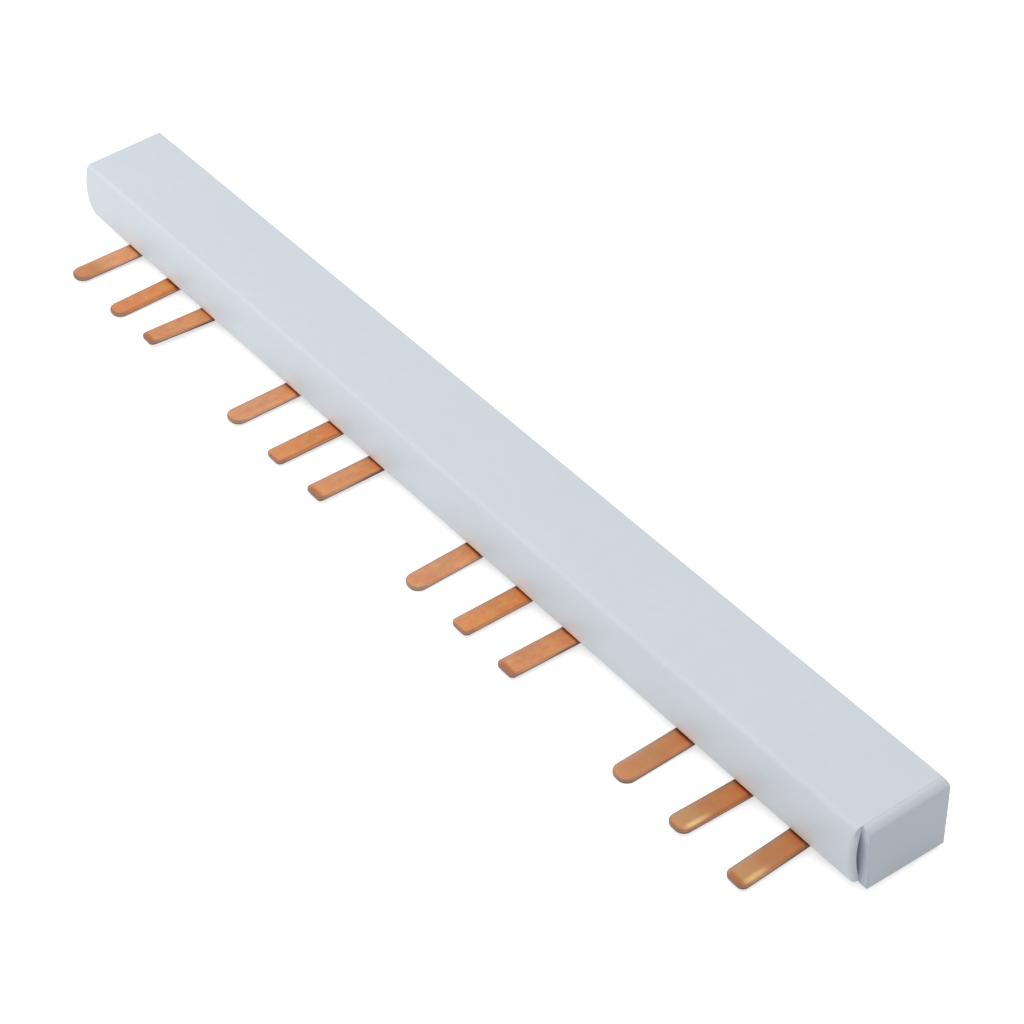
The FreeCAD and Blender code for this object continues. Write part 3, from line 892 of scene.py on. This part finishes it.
def copper_metal(colours, sizes):
    """Bare copper, in layers over one another.

    The flat face is mottled, pinker on the first comb and more orange on the second, and painted
    lighter next to the wall as painted light. The right group is browner, its last two tips are
    brassy, and a painted highlight runs along their right edges. The rolled edges carry a painted
    reflection at the left and are otherwise dark. The sheared sides are dull and grey, partly as
    painted shade, and the right sides carry painted shade near the wall. A painted shade line crosses
    the bottom comb's tips, the lower edges carry painted shade and the metal under the lip a painted
    shadow.
    """
    finish = Finish(bpy.data.materials.new("copper_metal"))
    x, y, _ = finish.axes()
    ahead = -sizes.depth / 2 - y
    edge = finish.mark("edge")
    across = finish.mark("across")
    tint = finish.mark("tint")
    patch = finish.noise((130, 80, 130), 3)
    fine = finish.noise((900, 500, 900), 3)
    rolled = finish.noise((5200, 260, 5200), 2)
    blotch = finish.noise((640, 420, 640), 4, 0.7)

    # Which combs and pins
    bottom_comb = 1 - abs(tint - 0.5) * 2
    right = finish.rise(x, 0.070, 0.095)
    last = finish.rise(x, 0.096, 0.104)
    first = finish.fall(x, -0.118, -0.112)

    # How far in front of the wall
    root = finish.fall(ahead, 0.0027, 0.0097)
    # Painted light: reach next to the wall over which the copper is made lighter
    painted_glow = finish.fall(ahead, 0.0017, 0.0087)
    # Painted shadow of the lip over the pins' roots
    slot = finish.fall(ahead, -0.0002, 0.00065)
    tip = finish.rise(ahead, 0.0087, 0.0120)
    first_outer = first * finish.rise(ahead, 0.0057, 0.0127)
    # Painted shade of the bottom comb's unmodelled tip bevel
    painted_bevel_shade = finish.rise(ahead, 0.0149, 0.0160) * bottom_comb

    # Where round the section
    roll = finish.rise(edge, 0.10, 0.55)
    side = finish.rise(edge, 0.65, 1.0) * 0.45 + finish.rise(edge, 1.0, 1.25) * 0.55
    # Painted shade on the lower edges of the pins
    under = finish.rise(edge, 1.02, 1.5)
    # Painted reflection on the rolled edges at the left of each pin
    painted_left_reflection = finish.rise(0 - across, 0.42, 0.86)
    right_side = finish.rise(across, 0, 0.2)
    rim = finish.rise(edge, 0.38, 0.72) * (1 - right_side * finish.fall(ahead, 0.0132, 0.0154))
    # Sheared sides: dull metal, partly painted shade
    dull_and_shaded_side = side * (0.90 - tint * tint * 0.35)
    # Painted shade on the right sides, near the wall on the bottom comb and across the right group
    shaded_side = side * right_side * (root * bottom_comb * 0.7 + right * 0.4)
    # Painted highlight along the right rolled edges of the last two tips
    painted_highlight = last * finish.rise(ahead, 0.0082, 0.0127) * finish.fall(ahead, 0.0138, 0.0162)
    painted_highlight = painted_highlight * finish.rise(across, 0.38, 0.68) * finish.fall(across, 0.80, 0.98)

    tone = finish.layered(finish.mixed(tint, colours.pink, colours.copper), (
        (finish.rise(patch, 0.40, 0.70), 0.45, colours.copper_dull),
        (finish.rise(fine, 0.45, 0.75), 0.20, colours.grain),
        (finish.rise(blotch, 0.50, 0.64), 0.48, colours.gold),
        (finish.fall(blotch, 0.36, 0.50), 0.45, colours.red),
        (right, 0.70, colours.copper_dull),
        (last * tip, 0.85, colours.brassy),
        (tip * (1 - last), 0.22, colours.copper_dull),
    ))
    # Painted light next to the wall: the tone is multiplied lighter there
    lighter = (1.38, 1.26, 1.10)
    tone = finish.layered(finish.mixed(painted_glow, tone, lighter, "MULTIPLY"), (
        (roll * tint, 0.45, colours.deep),
        (first_outer, 0.75, colours.copper_dull),
        (painted_bevel_shade, 0.80, colours.deep),
        (painted_left_reflection, 0.60, colours.pale),
        (rim, 0.70, colours.rim),
        (dull_and_shaded_side, 1.0, colours.sheared),
        (shaded_side, 1.0, colours.side_shade),
        (painted_highlight, 0.30 + rolled * 0.8, colours.painted_highlight),
        (under, 1.0, colours.under),
        (slot, 0.65, colours.slot),
    ))
    finish.surface(
        Base_Color=tone,
        Metallic=1.0,
        Roughness=0.34 + fine * 0.16 + side * 0.18,
        Normal=finish.bump(rolled * 0.6 + fine * 0.4, 0.00004, 0.30),
    )
    return finish.owner


def floor_paper():
    """Pale paper: its own light for the camera brings it to white, and the object's shadow still shows."""
    finish = Finish(bpy.data.materials.new("floor_paper"))
    paper = finish.node("ShaderNodeBsdfDiffuse", inputs={"Color": (0.80, 0.80, 0.80)})
    light = finish.node("ShaderNodeEmission", inputs={"Color": (1, 1, 1), "Strength": 0.62})
    both = finish.node("ShaderNodeAddShader", inputs={0: paper, 1: light})
    finish.output(finish.node("ShaderNodeMixShader", inputs={0: finish.seen(), 1: paper, 2: both}))
    return finish.owner


def room_light(level):
    """World: even light of the given level, and plain white where it is seen or mirrored."""
    world = bpy.data.worlds.new("room")
    bpy.context.scene.world = world
    finish = Finish(world)
    dim = finish.node("ShaderNodeBackground", inputs={"Color": (1, 1, 1), "Strength": level})
    white = finish.node("ShaderNodeBackground", inputs={"Color": (1, 1, 1), "Strength": 1.0})
    finish.output(finish.node("ShaderNodeMixShader", inputs={0: finish.seen(), 1: dim, 2: white}))


def finish_named(name, make):
    """The material of that name, made once from the scene's colours and sizes."""
    scene = bpy.context.scene
    return bpy.data.materials.get(name) or make(scene.busbar_colours, scene.busbar_sizes)


def soft_lamp(name, place, target, size, level):
    """Square area lamp that faces its target."""
    lamp = bpy.data.lights.new(name, "AREA")
    lamp.shape = "SQUARE"
    lamp.size = size
    lamp.energy = level
    thing = bpy.data.objects.new(name, lamp)
    thing.location = place
    thing.visible_glossy = False
    thing.visible_camera = False
    aim = np.array(target) - np.array(place)
    tilt = math.atan2(math.hypot(aim[0], aim[1]), -aim[2])
    thing.rotation_euler = Euler((tilt, 0, math.atan2(-aim[0], aim[1])))
    bpy.context.scene.collection.objects.link(thing)


class BUSBAR_OT_housing(bpy.types.Operator):
    """Builds the extruded housing with its chambers and sawn left end"""

    bl_idname = "busbar.housing"
    bl_label = "Build Housing"

    def execute(self, context):
        sizes = context.scene.busbar_sizes
        finish = finish_named("extruded_plastic", extruded_plastic)
        piece("housing_shell", [housing_shell(sizes)], finish, "housing")
        return {"FINISHED"}


class BUSBAR_OT_combs(bpy.types.Operator):
    """Builds the three copper combs with their bent teeth"""

    bl_idname = "busbar.combs"
    bl_label = "Build Combs"

    def execute(self, context):
        sizes = context.scene.busbar_sizes
        finish = finish_named("copper_metal", copper_metal)
        for index, comb in enumerate(COMBS):
            shells = comb_shells(sizes, index)
            piece(comb.node + "_copper", shells, finish, comb.node, comb.tint)
        return {"FINISHED"}


class BUSBAR_OT_cap(bpy.types.Operator):
    """Builds the moulded end cap with its plugs"""

    bl_idname = "busbar.cap"
    bl_label = "Build End Cap"

    def execute(self, context):
        sizes = context.scene.busbar_sizes
        finish = finish_named("moulded_plastic", moulded_plastic)
        piece("end_cap_moulding", cap_shells(sizes), finish, "end_cap")
        return {"FINISHED"}


class BUSBAR_OT_stage(bpy.types.Operator):
    """Sets the floor, the soft lamps, the room's light and the camera"""

    bl_idname = "busbar.stage"
    bl_label = "Set Stage"

    def execute(self, context):
        light = context.scene.busbar_light
        floor_z = cad_low.z - FLOOR_DROP
        mesh = bpy.data.meshes.new("floor")
        corners = [(x * FLOOR_HALF, y * FLOOR_HALF, floor_z) for x, y in ((-1, -1), (1, -1), (1, 1), (-1, 1))]
        mesh.from_pydata(corners, [], [(0, 1, 2, 3)])
        mesh.materials.append(floor_paper())
        floor = bpy.data.objects.new("floor", mesh)
        context.scene.collection.objects.link(floor)
        room_light(light.room)
        for lamp, level in zip(LAMPS, (light.front, light.left, light.top)):
            soft_lamp(*lamp, level)

        lens = bpy.data.cameras.new("camera")
        lens.lens = CAMERA_LENS
        lens.sensor_width = CAMERA_SENSOR
        camera = bpy.data.objects.new("camera", lens)
        camera.location = CAMERA_PLACE
        camera.rotation_euler = Euler([math.radians(angle) for angle in CAMERA_TURN])
        context.scene.collection.objects.link(camera)
        context.scene.camera = camera
        context.scene.view_settings.view_transform = "Standard"
        return {"FINISHED"}


class BUSBAR_PT_panel(bpy.types.Panel):
    """Lists the steps in the sidebar"""

    bl_idname = "BUSBAR_PT_panel"
    bl_label = "Comb Busbar"
    bl_space_type = "VIEW_3D"
    bl_region_type = "UI"
    bl_category = "Busbar"

    def draw(self, context):
        for step in STEPS:
            self.layout.operator(step)


STEPS = ("busbar.housing", "busbar.combs", "busbar.cap", "busbar.stage")
CLASSES = (
    BusbarSizes, BusbarColours, BusbarLight, BUSBAR_OT_housing, BUSBAR_OT_combs, BUSBAR_OT_cap,
    BUSBAR_OT_stage, BUSBAR_PT_panel,
)


def register():
    for item in CLASSES:
        bpy.utils.register_class(item)
    bpy.types.Scene.busbar_sizes = PointerProperty(type=BusbarSizes)
    bpy.types.Scene.busbar_colours = PointerProperty(type=BusbarColours)
    bpy.types.Scene.busbar_light = PointerProperty(type=BusbarLight)


def unregister():
    del bpy.types.Scene.busbar_light
    del bpy.types.Scene.busbar_colours
    del bpy.types.Scene.busbar_sizes
    for item in reversed(CLASSES):
        bpy.utils.unregister_class(item)


def main():
    register()
    bpy.ops.busbar.housing()
    bpy.ops.busbar.combs()
    bpy.ops.busbar.cap()
    bpy.ops.busbar.stage()


if __name__ == "__main__":
    main()
